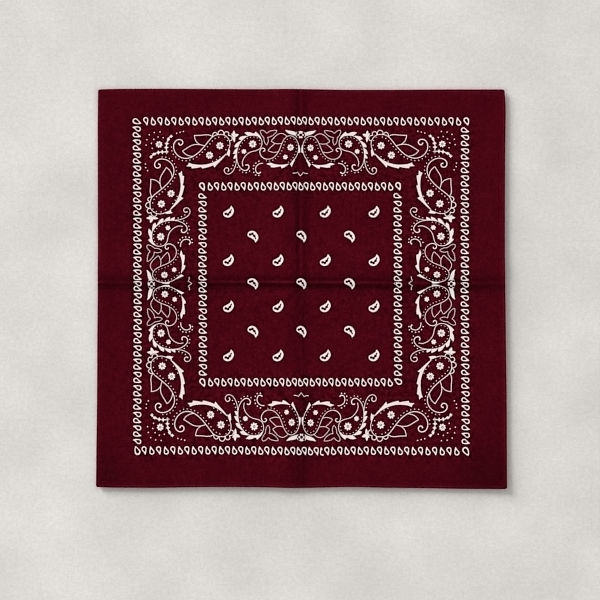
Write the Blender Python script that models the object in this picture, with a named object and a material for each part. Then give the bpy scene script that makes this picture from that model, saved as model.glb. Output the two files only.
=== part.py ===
"""Bandana: one square of printed cotton lying flat, with a narrow turned hem on each side.

The cloth has been folded in four and opened again, so a soft upright fold and a
soft level fold cross near its middle.  Both folds step down like a low stair:
the cloth comes up to them gently from the left and from the top, drops, stands
on a narrow ridge, and drops again.

Frame: +X to the right, +Y to the top edge, +Z up.  The origin is under the
middle of the cloth's box, on the surface that it lies on.
"""

from collections import namedtuple
from math import hypot

import bmesh
import bpy

MM = 0.001

# Driving sizes, in millimetres.
HALF_WIDTH = 275.0  # finished cloth, from the middle to the left or right edge
HALF_HEIGHT = 268.5  # from the middle to the top or bottom edge
WALL = 1.1  # wall of the panel
HEM_WIDTH = 5.0  # width of the edge turned under
HEM_WALL = 1.0  # wall of the turned edge
SEAM_GAP = 0.3  # between the panel and a hem, and between two hems
HEM_STEP = 8.0  # how far in from the edge the panel is back on the surface
CORNER_PULL = 0.9  # how far a corner's point is drawn in along X and along Y
UPRIGHT_FOLD_X = -1.3  # where the upright fold's ridge runs
LEVEL_FOLD_Y = 9.6  # where the level fold's ridge runs

# The left and right edges bow a little: where each is, for a height up the cloth.
Side = namedtuple("Side", "height left right")
SIDES = (
    Side(-268.5, -276.8, 276.8),
    Side(-219.0, -276.5, 276.7),
    Side(-171.0, -275.9, 276.6),
    Side(-122.0, -275.5, 276.1),
    Side(-74.0, -275.3, 275.4),
    Side(-25.0, -274.8, 274.9),
    Side(47.0, -274.4, 274.1),
    Side(120.0, -274.6, 274.1),
    Side(168.0, -274.6, 274.2),
    Side(217.0, -274.7, 274.8),
    Side(241.0, -274.5, 275.0),
    Side(268.5, -274.1, 273.5),
)

# The top and bottom edges, for a place across the cloth.
End = namedtuple("End", "across bottom top")
ENDS = (
    End(-275.0, -267.1, 268.6),
    End(-248.0, -267.9, 269.5),
    End(-199.0, -268.1, 269.7),
    End(-150.0, -267.4, 269.5),
    End(-102.0, -267.1, 269.3),
    End(-54.0, -267.4, 269.1),
    End(-5.0, -268.3, 269.2),
    End(68.0, -267.1, 268.2),
    End(116.0, -268.1, 268.2),
    End(165.0, -268.6, 268.5),
    End(213.0, -269.5, 268.7),
    End(262.0, -269.7, 268.6),
    End(275.0, -269.6, 268.4),
)

# How high a fold lifts the cloth, by the distance from its ridge.  Negative is
# the side that comes up gently: left of the upright fold, above the level one.
Lift = namedtuple("Lift", "from_ridge lift")
FOLD = (
    Lift(-70.0, 0.0),
    Lift(-42.0, 0.7),
    Lift(-18.0, 2.0),
    Lift(-12.0, 2.1),
    Lift(-7.5, 1.6),
    Lift(-3.0, 0.95),
    Lift(0.0, 1.15),
    Lift(2.5, 0.85),
    Lift(5.0, 0.35),
    Lift(9.0, 0.1),
    Lift(13.0, 0.0),
)

# How strong each fold is along its own length.
Run = namedtuple("Run", "along strength")
UPRIGHT_RUN = (
    Run(-268.5, 0.85),
    Run(-171.0, 0.75),
    Run(-74.0, 0.4),
    Run(-25.0, 0.8),
    Run(47.0, 1.0),
    Run(268.5, 1.0),
)
LEVEL_RUN = (
    Run(-275.0, 0.95),
    Run(-150.0, 0.9),
    Run(-54.0, 1.0),
    Run(68.0, 1.1),
    Run(165.0, 1.0),
    Run(275.0, 0.9),
)


def read(table, at, column):
    """The column's value at a place in the table, straight between its rows."""
    if at <= table[0][0]:
        return getattr(table[0], column)
    for low, high in zip(table, table[1:]):
        if at <= high[0]:
            t = (at - low[0]) / (high[0] - low[0])
            return (1 - t) * getattr(low, column) + t * getattr(high, column)
    return getattr(table[-1], column)


def outline(a, b):
    """The place in plan of the point a across and b up the nominal rectangle."""
    side = read(SIDES, b, "right") if a > 0 else -read(SIDES, b, "left")
    end = read(ENDS, a, "top") if b > 0 else -read(ENDS, a, "bottom")
    x, y = a * side / HALF_WIDTH, b * end / HALF_HEIGHT
    if abs(a) == HALF_WIDTH and abs(b) == HALF_HEIGHT:
        x -= CORNER_PULL if x > 0 else -CORNER_PULL
        y -= CORNER_PULL if y > 0 else -CORNER_PULL
    return x, y


def fold_lift(a, b):
    """How high the two folds hold the cloth off the surface."""
    upright = read(FOLD, a - UPRIGHT_FOLD_X, "lift") * read(UPRIGHT_RUN, b, "strength")
    level = read(FOLD, LEVEL_FOLD_Y - b, "lift") * read(LEVEL_RUN, a, "strength")
    return hypot(upright, level)


def hem_lift(a, b):
    """How high the panel's underside rides over the turned edges."""
    inside = min(HALF_WIDTH - abs(a), HALF_HEIGHT - abs(b))
    full = HEM_WALL + SEAM_GAP
    start = HEM_WIDTH + SEAM_GAP
    if inside <= start + 1e-6:
        return full
    return full * max(0.0, (HEM_STEP - inside) / (HEM_STEP - start))


def lines(half, rows, ridge, side):
    """The grid's lines along one axis: the edges, the hems, the rows and the fold."""
    start = HEM_WIDTH + SEAM_GAP
    at = {s * (half - e) for s in (-1, 1) for e in (0.0, HEM_WIDTH, start, HEM_STEP)}
    fold = {ridge + side * row.from_ridge for row in FOLD}
    plain = {row[0] for row in rows if abs(row[0]) < half - HEM_STEP - 5}
    plain = {p for p in plain if all(abs(p - f) > 6 for f in fold)}
    return sorted(at | fold | plain)


ACROSS = lines(HALF_WIDTH, ENDS, UPRIGHT_FOLD_X, 1)
UP = lines(HALF_HEIGHT, SIDES, LEVEL_FOLD_Y, -1)


def sheet_mesh(name, across, up, underside, wall):
    """A closed wall over a grid: two skins and the rim that joins them."""
    bm = bmesh.new()
    skins = []
    for thickness in (0.0, wall):
        skin = []
        for b in up:
            row = []
            for a in across:
                x, y = outline(a, b)
                z = underside(a, b) + thickness
                row.append(bm.verts.new((x * MM, y * MM, z * MM)))
            skin.append(row)
        skins.append(skin)
    low, high = skins
    columns, rows = len(across), len(up)
    for j in range(rows - 1):
        for i in range(columns - 1):
            corners = ((j, i), (j, i + 1), (j + 1, i + 1), (j + 1, i))
            bm.faces.new([high[r][c] for r, c in corners])
            bm.faces.new([low[r][c] for r, c in reversed(corners)])
    rim = [(0, i) for i in range(columns)]
    rim += [(j, columns - 1) for j in range(1, rows)]
    rim += [(rows - 1, i) for i in range(columns - 2, -1, -1)]
    rim += [(j, 0) for j in range(rows - 2, 0, -1)]
    for (j, i), (k, h) in zip(rim, rim[1:] + rim[:1]):
        bm.faces.new((low[j][i], low[k][h], high[k][h], high[j][i]))
    bmesh.ops.triangulate(bm, faces=bm.faces)
    mesh = bpy.data.meshes.new(name)
    bm.to_mesh(mesh)
    bm.free()
    return mesh


def cotton(name, colour, roughness):
    material = bpy.data.materials.new(name)
    material.use_nodes = True
    shader = material.node_tree.nodes["Principled BSDF"]
    shader.inputs["Base Color"].default_value = (*colour, 1.0)
    shader.inputs["Roughness"].default_value = roughness
    shader.inputs["Metallic"].default_value = 0.0
    material.diffuse_color = (*colour, 1.0)
    return material


def place(name, mesh, material, parent):
    piece = bpy.data.objects.new(name, mesh)
    mesh.materials.append(material)
    bpy.context.scene.collection.objects.link(piece)
    piece.parent = parent
    return piece


def turned_edge(name, across, up):
    """An edge turned under: a flat strip that follows the panel's own points."""
    return sheet_mesh(name, across, up, fold_lift, HEM_WALL)


def main():
    for old in list(bpy.data.objects):
        bpy.data.objects.remove(old, do_unlink=True)

    bandana = bpy.data.objects.new("bandana", None)
    bpy.context.scene.collection.objects.link(bandana)

    face = cotton("burgundy_cotton", (0.060, 0.0018, 0.0060), 0.85)
    turned = cotton("burgundy_cotton_turned", (0.050, 0.0016, 0.0052), 0.88)

    def panel_underside(a, b):
        return fold_lift(a, b) + hem_lift(a, b)

    panel = sheet_mesh("panel", ACROSS, UP, panel_underside, WALL)
    place("panel", panel, face, bandana)

    # The top and bottom hems run the whole width; the side hems fit between them.
    inner_x, inner_y = HALF_WIDTH - HEM_WIDTH, HALF_HEIGHT - HEM_WIDTH
    between = [b for b in UP if abs(b) <= inner_y - SEAM_GAP + 1e-6]
    for name, across, up in (
        ("hem_top", ACROSS, (inner_y, HALF_HEIGHT)),
        ("hem_bottom", ACROSS, (-HALF_HEIGHT, -inner_y)),
        ("hem_left", (-HALF_WIDTH, -inner_x), between),
        ("hem_right", (inner_x, HALF_WIDTH), between),
    ):
        place(name, turned_edge(name, across, up), turned, bandana)


main()
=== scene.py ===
"""Bandana: one square of burgundy cotton with a white border print, laid flat.

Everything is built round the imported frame, in metres, with +X to the right, +Y
to the top edge and +Z up out of the printed face.  Sizes in the tables below
are in millimetres, and the print is charted in squares of 1.3464 mm.
"""

from collections import namedtuple
from math import acos, atan2, cos, hypot, pi, sin, tanh

import bmesh
import bpy
import numpy as np
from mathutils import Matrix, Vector
from mathutils.geometry import delaunay_2d_cdt


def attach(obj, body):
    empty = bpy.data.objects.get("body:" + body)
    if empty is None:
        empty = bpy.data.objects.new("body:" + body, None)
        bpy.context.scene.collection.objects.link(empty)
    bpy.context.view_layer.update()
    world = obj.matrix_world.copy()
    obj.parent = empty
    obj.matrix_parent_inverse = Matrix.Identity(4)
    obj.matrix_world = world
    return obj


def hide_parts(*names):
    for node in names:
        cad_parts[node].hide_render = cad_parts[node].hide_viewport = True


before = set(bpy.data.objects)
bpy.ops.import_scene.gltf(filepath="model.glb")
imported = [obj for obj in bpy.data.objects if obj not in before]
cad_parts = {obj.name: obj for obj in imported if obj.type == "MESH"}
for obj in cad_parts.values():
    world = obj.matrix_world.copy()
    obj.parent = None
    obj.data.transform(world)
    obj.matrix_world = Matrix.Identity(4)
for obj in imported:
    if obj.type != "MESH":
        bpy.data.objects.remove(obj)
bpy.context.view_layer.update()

MM = 0.001

# ------------------------------------------------------------- the cloth ----
HALF_WIDTH = 275.0
HALF_HEIGHT = 268.5
HEM_WIDTH = 5.0  # the edge turned under
CLOTH = 0.5  # the cloth's own thickness as it is shown
CORNER_ROUND = 2.2
UPRIGHT_FOLD_X = -0.7

# How the four edges bow: where each is, for a place along the cloth.
SIDE_AT = (-268.5, -219.0, -171.0, -122.0, -74.0, -25.0, 47.0, 120.0, 168.0, 217.0, 241.0, 268.5)
LEFT = (276.8, 276.5, 275.9, 275.5, 275.3, 274.8, 274.4, 274.6, 274.6, 274.7, 274.5, 274.1)
RIGHT = (275.9, 275.8, 275.7, 275.2, 274.5, 274.0, 273.2, 273.2, 273.3, 273.9, 274.1, 272.6)
END_AT = (-275.0, -248.0, -199.0, -150.0, -102.0, -54.0, -5.0, 68.0, 116.0, 165.0, 213.0, 262.0, 275.0)
BOTTOM = (266.3, 267.1, 267.3, 266.6, 266.3, 266.6, 267.5, 266.3, 267.3, 267.8, 268.7, 268.9, 268.8)
TOP = (268.6, 269.5, 269.7, 269.5, 269.3, 269.1, 269.2, 268.2, 268.2, 268.5, 268.7, 268.6, 268.4)

# How high a fold lifts the cloth by the distance from its ridge: it swells up
# gently on the negative side, drops, rests on a narrow ledge that is the old
# crease, and drops again.  The upright fold is sharper over the level one than
# under it, where it is one soft step.
FOLD_FROM = (-75.0, -58.0, -40.0, -26.0, -20.0, -16.0, -12.0, -8.0, -6.8, -5.2, -4.0, -2.8, -1.8, -0.7, 0.3, 1.3, 2.6, 4.2, 6.0, 8.0, 11.0, 15.0, 19.0)
HEAD_LIFT = (0.0, 0.55, 1.75, 3.0, 3.32, 3.36, 3.28, 3.02, 2.72, 2.12, 1.8, 1.66, 1.68, 1.84, 1.86, 1.68, 1.38, 1.02, 0.66, 0.38, 0.14, 0.03, 0.0)
FOOT_LIFT = (0.0, 0.55, 1.7, 2.9, 3.2, 3.24, 3.14, 2.86, 2.72, 2.44, 2.2, 2.04, 1.96, 1.9, 1.78, 1.5, 1.1, 0.74, 0.5, 0.32, 0.13, 0.03, 0.0)
LEVEL_LIFT = (0.0, 0.6, 1.95, 3.25, 3.6, 3.62, 3.48, 3.06, 2.86, 2.52, 2.3, 2.16, 2.12, 2.24, 2.26, 2.02, 1.62, 1.12, 0.78, 0.52, 0.22, 0.04, 0.0)
# The swelling alone, so that the two folds' swellings merge where they meet.
SWELL_FROM = (-75.0, -58.0, -40.0, -26.0, -16.0, 0.0, 19.0)
SWELL_LIFT = (0.0, 0.55, 1.75, 3.0, 3.3, 1.8, 0.0)
# Painted shade along each fold, with painted light where the share is above 1: the share of its full colour that the
# cloth shows by the distance from the ridge.
SHADE_FROM = (-17.0, -10.0, -7.0, -5.0, -3.0, -1.0, 0.4, 2.0, 3.6, 5.0, 7.0, 10.0, 14.0, 19.0)
HEAD_CREASE_SHADE = (1.0, 0.92, 0.83, 0.68, 0.76, 1.0, 1.07, 0.92, 0.8, 0.77, 0.82, 0.91, 0.99, 1.0)
FOOT_CREASE_SHADE = (1.0, 0.91, 0.86, 0.8, 0.76, 0.86, 0.86, 0.64, 0.63, 0.75, 0.82, 0.88, 0.96, 1.0)
LEVEL_CREASE_SHADE = (1.0, 0.96, 0.86, 0.7, 0.75, 0.96, 0.9, 0.66, 0.53, 0.51, 0.64, 0.78, 0.92, 1.0)
FIELD_CREASE_SHADE = (1.05, 1.0, 0.85, 0.68, 0.86, 1.38, 1.1, 0.58, 0.47, 0.58, 0.82, 1.0, 1.06, 1.05)
UPRIGHT_AT = (-268.5, -171.0, -74.0, -25.0, 47.0, 268.5)
UPRIGHT_RUN = (1.0, 0.8, 0.45, 0.75, 1.0, 1.0)
LEVEL_AT = (-275.0, -150.0, -54.0, 68.0, 165.0, 275.0)
LEVEL_RUN = (0.95, 0.92, 1.08, 1.1, 1.0, 0.92)
LEVEL_Y = (8.9, 9.2, 8.9, 8.0, 7.4, 7.2)  # the level fold drifts a little on its way across

# Soft unevenness left from folding and handling: a trough or ridge from one
# point to another, with its half width and its height.
Swell = namedtuple("Swell", "x0 y0 x1 y1 half height")
SWELLS = (
    Swell(-262, 205, -205, 250, 26, 0.35),
    Swell(-150, 262, 40, 246, 20, -0.25),
    Swell(120, 256, 238, 236, 22, 0.35),
    Swell(252, 190, 262, 40, 20, 0.3),
    Swell(258, -60, 238, -210, 24, 0.35),
    Swell(190, -252, 60, -262, 18, 0.3),
    Swell(-70, -250, -190, -258, 20, 0.32),
    Swell(-262, -190, -240, -80, 22, -0.25),
    Swell(-264, 40, -256, 120, 18, 0.3),
    Swell(-190, 120, -60, 150, 34, 0.3),
    Swell(70, 160, 180, 90, 36, -0.28),
    Swell(-170, -60, -60, -120, 34, 0.28),
    Swell(60, -70, 190, -130, 38, 0.3),
    Swell(-90, 60, -20, 110, 22, -0.2),
    Swell(30, -180, 150, -190, 28, -0.24),
    Swell(-180, -170, -90, -190, 26, 0.22),
    Swell(40, 60, 110, 40, 18, 0.18),
    Swell(-110, -20, -60, -50, 16, -0.18),
)


def smooth(at, places, values):
    """The value at a place, on a smooth line through the table's points."""
    x, y = np.asarray(places, float), np.asarray(values, float)
    at = np.clip(np.asarray(at, float), x[0], x[-1])
    h, d = np.diff(x), np.diff(y) / np.diff(x)
    slope = np.zeros_like(y)
    inner = d[:-1] * d[1:] > 0
    w1, w2 = 2 * h[1:] + h[:-1], h[1:] + 2 * h[:-1]
    with np.errstate(divide="ignore", invalid="ignore"):
        mean = (w1 + w2) / (w1 / d[:-1] + w2 / d[1:])
    slope[1:-1] = np.where(inner, mean, 0.0)
    slope[0], slope[-1] = d[0], d[-1]
    i = np.clip(np.searchsorted(x, at, side="right") - 1, 0, len(h) - 1)
    t = (at - x[i]) / h[i]
    return ((1 + 2 * t) * (1 - t) ** 2 * y[i] + t * (1 - t) ** 2 * h[i] * slope[i]
            + t * t * (3 - 2 * t) * y[i + 1] + t * t * (t - 1) * h[i] * slope[i + 1])


def outline(a, b):
    """Where the point a across and b up the nominal rectangle lies in plan."""
    side = np.where(a > 0, smooth(b, SIDE_AT, RIGHT), smooth(b, SIDE_AT, LEFT))
    end = np.where(b > 0, smooth(a, END_AT, TOP), smooth(a, END_AT, BOTTOM))
    x, y = a * side / HALF_WIDTH, b * end / HALF_HEIGHT
    # the corners are turned over bluntly
    ea, eb = HALF_WIDTH - np.abs(a), HALF_HEIGHT - np.abs(b)
    pull = np.clip(1 - (ea + eb) / CORNER_ROUND, 0, 1) * 0.45 * CORNER_ROUND
    near = (ea < CORNER_ROUND) & (eb < CORNER_ROUND)
    x = x - np.sign(a) * np.where(near, pull, 0)
    y = y - np.sign(b) * np.where(near, pull, 0)
    return x, y


def nominal(x, y):
    """The point of the nominal rectangle that lies at x, y: outline() undone."""
    a, b = np.array(x, float), np.array(y, float)
    for _ in range(4):
        side = np.where(a > 0, smooth(b, SIDE_AT, RIGHT), smooth(b, SIDE_AT, LEFT))
        end = np.where(b > 0, smooth(a, END_AT, TOP), smooth(a, END_AT, BOTTOM))
        a, b = x * HALF_WIDTH / side, y * HALF_HEIGHT / end
    return a, b


def fold_places(a, b):
    """The distance from each fold's ridge, how strong it is there, and how far down the cloth it is."""
    u, run_u = a - UPRIGHT_FOLD_X, smooth(b, UPRIGHT_AT, UPRIGHT_RUN)
    v, run_v = smooth(a, LEVEL_AT, LEVEL_Y) - b, smooth(a, LEVEL_AT, LEVEL_RUN)
    return u, run_u, v, run_v, np.clip((8.0 - b) / 16.0, 0, 1)


def fold_lift(a, b):
    u, run_u, v, run_v, foot = fold_places(a, b)
    low_u, low_v = run_u * smooth(u, SWELL_FROM, SWELL_LIFT), run_v * smooth(v, SWELL_FROM, SWELL_LIFT)
    upright = (1 - foot) * smooth(u, FOLD_FROM, HEAD_LIFT) + foot * smooth(u, FOLD_FROM, FOOT_LIFT)
    high = run_u * upright - low_u + run_v * smooth(v, FOLD_FROM, LEVEL_LIFT) - low_v
    return np.maximum(np.hypot(low_u, low_v) + high, 0.0)


def edge_lift(a, b):
    """How far the stiff hems hold the cloth's edges off the surface, most at the right and the foot."""
    right = smooth(b, (-268, -160, -60, 60, 170, 268), (3.7, 3.3, 3.8, 3.4, 3.9, 3.5)) * np.clip(1 - (HALF_WIDTH - a) / 84.0, 0, 1) ** 2
    left = smooth(b, (-268, -120, 40, 160, 268), (2.2, 1.9, 2.3, 1.9, 2.1)) * np.clip(1 - (HALF_WIDTH + a) / 56.0, 0, 1) ** 2
    top = smooth(a, (-275, -130, 0, 140, 275), (2.1, 2.3, 1.9, 2.2, 2.1)) * np.clip(1 - (HALF_HEIGHT - b) / 56.0, 0, 1) ** 2
    foot = smooth(a, (-275, -150, -40, 70, 180, 275), (3.5, 3.8, 3.4, 3.8, 3.5, 3.7)) * np.clip(1 - (HALF_HEIGHT + b) / 84.0, 0, 1) ** 2
    return np.sqrt(right ** 2 + left ** 2 + top ** 2 + foot ** 2)


# Where the cloth is painted darker: at its corners, and along the right edge and the foot, where it is painted shade
# against the light that the lifted edges catch; each by its place, its reach, and how much.
Patch = namedtuple("Patch", "x y across up depth")
DARKER_PATCHES = (
    Patch(-268, -262, 36, 48, 0.31),
    Patch(268, -256, 62, 62, 0.33),
    Patch(274, 262, 30, 26, 0.10),
    Patch(-272, 264, 14, 26, 0.06),
    Patch(276, -120, 16, 90, 0.07),
    Patch(0, -276, 260, 18, 0.06),
    Patch(-30, -262, 60, 26, 0.05),
    Patch(276, 120, 12, 150, 0.05),
)


def painted_light_and_shade(a, b):
    """The share of its full colour that the cloth shows: painted shade and light along the creases, darker corners,
    painted highlights and shade along the hems, and painted light and shade on the margins against the lifted edges'
    own.
    """
    u, run_u, v, run_v, foot = fold_places(a, b)
    upright = (1 - foot) * smooth(u, SHADE_FROM, HEAD_CREASE_SHADE) + foot * smooth(u, SHADE_FROM, FOOT_CREASE_SHADE)
    field = np.clip((118.0 - np.abs(a)) / 20.0, 0, 1)
    level = (1 - field) * smooth(v, SHADE_FROM, LEVEL_CREASE_SHADE) + field * smooth(v, SHADE_FROM, FIELD_CREASE_SHADE)
    share = (1 - run_u * (1 - upright)) * (1 - run_v * (1 - level))
    for p in DARKER_PATCHES:
        share = share * (1 - p.depth * np.exp(-((a - p.x) / p.across) ** 2 - ((b - p.y) / p.up) ** 2))
    e = edge_distance(a, b)
    # painted highlights on the hem's rolled ridges and painted shade at its stitching groove, by the distance in from
    # the edge
    share = share * smooth(e, (0.0, 0.9, 1.8, 2.6, 3.5, 4.4, 5.2, 6.1, 7.2, 9.0), (1.45, 1.62, 1.35, 1.5, 2.15, 0.88, 0.88, 1.45, 0.92, 1.0))
    # a painted highlight along the right and foot edges
    off = np.minimum(HALF_WIDTH - a, HALF_HEIGHT + b)
    share = share * (1 + 0.45 * np.clip(1 - off / 4.5, 0, 1))
    # painted light on the left and top margins, which the lifted edges tilt away from the light, to even out their
    # shade
    share = share * (1 + 0.13 * np.clip(1 - (HALF_WIDTH + a) / 60.0, 0, 1) + 0.12 * np.clip(1 - (HALF_HEIGHT - b) / 60.0, 0, 1))
    # painted shade on the right and foot margins, which the lifted edges tilt towards the light, to even out their
    # light
    return share * (1 - 0.06 * np.clip(1 - (HALF_WIDTH - a) / 70.0, 0, 1) - 0.13 * np.clip(1 - (HALF_HEIGHT + b) / 70.0, 0, 1))


def washed(a, b):
    """Where the printing left the dye mottled: in the broad band, softly fading either side of it."""
    out = np.maximum(np.abs(a) - 232.0, np.abs(b) - 232.0)
    inside = np.maximum(np.abs(a + 2) - 124.0, np.abs(b - 6) - 120.0)
    return np.clip(0.5 - out / 12.0, 0, 1) * (0.3 + 0.7 * np.clip(0.5 + inside / 12.0, 0, 1))


def ground(a, b):
    """What the cloth would lie at with no thickness: the folds and the lifted edges."""
    return np.hypot(fold_lift(a, b), edge_lift(a, b))


def swell(a, b):
    total = np.zeros(np.broadcast(a, b).shape)
    for s in SWELLS:
        dx, dy = s.x1 - s.x0, s.y1 - s.y0
        t = np.clip(((a - s.x0) * dx + (b - s.y0) * dy) / (dx * dx + dy * dy), 0, 1)
        d = np.hypot(a - s.x0 - t * dx, b - s.y0 - t * dy) / s.half
        total += s.height * np.exp(-1.6 * d * d)
    # a slow ripple across the whole cloth
    total += 0.07 * np.sin(a / 17.0 + 1.3 * np.sin(b / 41.0)) * np.sin(b / 23.0 + 0.8)
    total += 0.045 * np.sin(a / 9.1 - b / 31.0 + 2.0) + 0.045 * np.sin(b / 8.3 + a / 37.0)
    return total


def hem_profile(e):
    """How high the top face stands by the distance in from the edge: a soft roll, a groove at the stitching, a slow fall."""
    return smooth(e, (0.0, 0.12, 0.35, 0.8, 1.6, 2.6, 3.6, 4.25, 4.9, 5.8, 6.8, 8.0, 10.0, 14.0, 20.0, 28.0),
                  (-0.55, 0.3, 0.7, 0.92, 1.03, 1.04, 0.97, 0.86, 0.86, 0.76, 0.68, 0.68, 0.6, 0.4, 0.15, 0.0))


def edge_distance(a, b):
    return np.minimum(HALF_WIDTH - np.abs(a), HALF_HEIGHT - np.abs(b))


def pucker(a, b, e):
    """The stitching draws the cloth in a little, unevenly, along its line."""
    along = np.where(HALF_WIDTH - np.abs(a) < HALF_HEIGHT - np.abs(b), b, a)
    wave = 0.5 * np.sin(along / 2.1 + 0.7 * np.sin(along / 13.0)) + 0.5 * np.sin(along / 5.3 + 1.1)
    return 0.09 * wave * np.exp(-((e - 4.4) / 2.6) ** 2)


def top_of(a, b):
    e = edge_distance(a, b)
    low = np.clip(e / 9.0, 0, 1)
    base = np.maximum(ground(a, b) + (0.28 + swell(a, b)) * low + 0.1 * (1 - low), 0.05)
    return base + CLOTH + hem_profile(e) + pucker(a, b, e)


def bottom_of(a, b):
    """The underside: the cloth's thickness below the top, and clear of the turned edge."""
    e = edge_distance(a, b)
    return np.maximum(top_of(a, b) - CLOTH * smooth(e, (0.0, 0.5, 1.2), (0.5, 0.8, 1.0)), 0.0)


def grid_lines(half, ridge, drift):
    """Where the grid's lines run: close at the hems and the fold, wider between."""
    at = {s * (half - e) for s in (-1, 1) for e in (0.0, 0.15, 0.45, 1.0, 1.8, 3.0, 4.2, 5.2, 6.4, 8.0)}
    low, high = ridge - 15.0 - drift, ridge + 15.0 + drift
    n = int((high - low) / 1.15)
    fold = [low + (high - low) * k / n for k in range(n + 1)]
    inner = half - 8.0
    left = [-inner + (low + inner) * k / 84 for k in range(1, 84)]
    right = [high + (inner - high) * k / 84 for k in range(1, 84)]
    return np.array(sorted(at | set(fold) | set(left) | set(right)))


ACROSS = grid_lines(HALF_WIDTH, UPRIGHT_FOLD_X, 0.0)
UP = grid_lines(HALF_HEIGHT, 9.6, 1.0)
GRID_A, GRID_B = np.meshgrid(ACROSS, UP)
GRID_X, GRID_Y = outline(GRID_A, GRID_B)
GRID_TOP = top_of(GRID_A, GRID_B)
GRID_BOTTOM = bottom_of(GRID_A, GRID_B)


def surface(x, y):
    """The height of the cloth's top face, on its own triangles."""
    a, b = nominal(x, y)
    i = np.clip(np.searchsorted(ACROSS, a, side="right") - 1, 0, len(ACROSS) - 2)
    j = np.clip(np.searchsorted(UP, b, side="right") - 1, 0, len(UP) - 2)
    s = np.clip((a - ACROSS[i]) / (ACROSS[i + 1] - ACROSS[i]), 0, 1)
    t = np.clip((b - UP[j]) / (UP[j + 1] - UP[j]), 0, 1)
    z00, z10 = GRID_TOP[j, i], GRID_TOP[j, i + 1]
    z01, z11 = GRID_TOP[j + 1, i], GRID_TOP[j + 1, i + 1]
    lower = z00 + s * (z10 - z00) + t * (z11 - z10)
    upper = z00 + t * (z01 - z00) + s * (z11 - z01)
    return np.where(s >= t, lower, upper)


def mesh_of(name, points, faces, smooth_shaded=True):
    """A mesh from points in millimetres."""
    mesh = bpy.data.meshes.new(name)
    mesh.from_pydata((np.asarray(points, float) * MM).tolist(), [], faces)
    mesh.validate()
    mesh.update()
    if smooth_shaded:
        mesh.polygons.foreach_set("use_smooth", [True] * len(mesh.polygons))
    return mesh


def add(name, mesh, *materials):
    piece = bpy.data.objects.new(name, mesh)
    bpy.context.scene.collection.objects.link(piece)
    for m in materials:
        mesh.materials.append(m)
    return piece


def cloth_mesh():
    """A closed shell on the grid, its two skins and its rim."""
    rows, columns = GRID_X.shape
    top = np.stack([GRID_X, GRID_Y, GRID_TOP], -1).reshape(-1, 3)
    low = np.stack([GRID_X, GRID_Y, GRID_BOTTOM], -1).reshape(-1, 3)
    n = rows * columns
    j, i = np.mgrid[0:rows - 1, 0:columns - 1]
    p = (j * columns + i).ravel()
    q, r, s = p + 1, p + columns + 1, p + columns
    up = np.concatenate([np.stack([p, q, r], 1), np.stack([p, r, s], 1)])
    down = up[:, ::-1] + n
    rim = list(range(columns)) + [k * columns + columns - 1 for k in range(1, rows)]
    rim += [(rows - 1) * columns + k for k in range(columns - 2, -1, -1)] + [k * columns for k in range(rows - 2, 0, -1)]
    wall = []
    for u, v in zip(rim, rim[1:] + rim[:1]):
        wall += [(u + n, v + n, v), (u + n, v, u)]
    faces = up.tolist() + down.tolist() + wall
    mesh = mesh_of("cloth_panel", np.concatenate([top, low]), faces)
    # the painted light and shade of the creases, hems and margins, kept on the mesh
    share = mesh.attributes.new("painted_light_and_shade", "FLOAT", "POINT")
    share.data.foreach_set("value", np.tile(painted_light_and_shade(GRID_A, GRID_B).ravel(), 2))
    wash = mesh.attributes.new("wash", "FLOAT", "POINT")
    wash.data.foreach_set("value", np.tile(washed(GRID_A, GRID_B).ravel(), 2))
    return mesh


def turned_edge(side):
    """The edge turned under twice, as one soft strip that follows the panel's own edge."""
    # its section: how far in from the cloth's edge, and the share of the room's height
    section = ((0.18, 0.5), (0.3, 0.2), (0.7, 0.04), (2.5, 0.0), (4.6, 0.02), (4.95, 0.14), (5.05, 0.3), (4.9, 0.44),
               (4.75, 0.5), (4.95, 0.56), (5.05, 0.72), (4.9, 0.88), (4.5, 0.97), (2.5, 1.0), (0.7, 0.98), (0.3, 0.8))
    along = UP if side in ("left", "right") else ACROSS
    stop = (HALF_HEIGHT if side in ("left", "right") else HALF_WIDTH) - (5.4 if side in ("left", "right") else 0.3)
    along = np.concatenate([[-stop], along[(along > -stop + 0.3) & (along < stop - 0.3)], [stop]])
    keep = [0]
    for k in range(1, len(along)):
        if along[k] - along[keep[-1]] >= 1.0 or k == len(along) - 1:
            keep.append(k)
    along = along[keep]
    points, m = [], len(section)
    for c in along:
        for e, share in section:
            if side == "left":
                a, b = -HALF_WIDTH + e, c
            elif side == "right":
                a, b = HALF_WIDTH - e, c
            elif side == "top":
                a, b = c, HALF_HEIGHT - e
            else:
                a, b = c, -HALF_HEIGHT + e
            points.append((a, b, share))
    a, b, share = np.array(points).T
    x, y = outline(a, b)
    ceiling = bottom_of(np.sign(a) * np.minimum(np.abs(a), HALF_WIDTH - 1.2), np.sign(b) * np.minimum(np.abs(b), HALF_HEIGHT - 1.2)) - 0.06
    floor = ground(a, b) + 0.12
    z = floor + share * np.maximum(ceiling - floor, 0.4)
    faces = []
    for k in range(len(along) - 1):
        for s in range(m):
            t = (s + 1) % m
            faces.append((k * m + s, k * m + t, (k + 1) * m + t, (k + 1) * m + s))
    faces.append(tuple(range(m))[::-1])
    last = (len(along) - 1) * m
    faces.append(tuple(range(last, last + m)))
    mesh = mesh_of("turned_hem_" + side, np.stack([x, y, z], 1), faces)
    bm = bmesh.new()
    bm.from_mesh(mesh)
    bmesh.ops.recalc_face_normals(bm, faces=bm.faces)
    bm.to_mesh(mesh)
    bm.free()
    return mesh


# ------------------------------------------------------------ the sewing ----
STITCH, GAP, THREAD = 2.3, 0.65, 0.2  # a stitch, the gap to the next, and the thread's half thickness
STITCH_LINE = 4.25  # how far in from the edge the hem is sewn


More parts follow.
